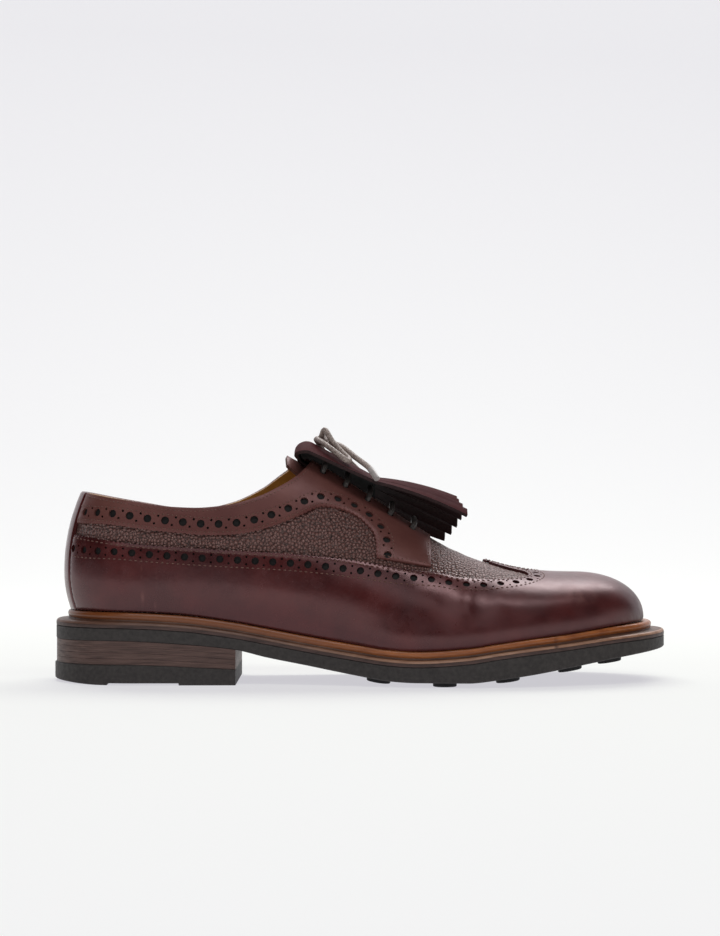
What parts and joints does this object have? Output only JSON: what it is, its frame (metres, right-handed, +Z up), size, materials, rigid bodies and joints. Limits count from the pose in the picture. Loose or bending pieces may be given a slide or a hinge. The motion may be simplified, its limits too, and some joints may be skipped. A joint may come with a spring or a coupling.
{
  "type": "brogue shoe",
  "caption": "Full brogue derby shoe for the right foot: hollow lasted upper with long wing cap, lace facings, fringed kiltie, storm welt, studded rubber sole and stacked heel.",
  "frame": {"origin": "middle of the overall outline, on the plane the sole stands on", "axes": "+X to the toe, +Y to the inner (medial) side, +Z up"},
  "size_m": [0.304, 0.1088, 0.1258],
  "materials": {
    "burgundy_leather": "smooth, polished",
    "grained_leather": "semi-gloss",
    "tan_leather": "natural, matt",
    "welt_leather": "natural, waxed",
    "stacked_leather": "dyed edge",
    "studded_rubber": "matt, dark grey",
    "waxed_cord": "waxed, matt"
  },
  "bodies": {
    "root": {"upper": "grained_leather", "wing_foxing": "burgundy_leather", "facing_lateral": "burgundy_leather", "facing_medial": "burgundy_leather", "back_strap": "burgundy_leather", "tongue": "tan_leather", "kiltie": "burgundy_leather", "insole": "tan_leather", "welt": "welt_leather", "outsole": "studded_rubber", "heel_lift_1": "stacked_leather", "heel_lift_2": "stacked_leather", "heel_lift_3": "stacked_leather", "heel_lift_4": "stacked_leather", "heel_top_piece": "studded_rubber", "lace_bars": "waxed_cord", "lace_knot": "waxed_cord", "lace_loop_lateral": "waxed_cord", "lace_loop_medial": "waxed_cord", "lace_end_lateral": "waxed_cord", "lace_end_medial": "waxed_cord"}
  },
  "joints": []
}
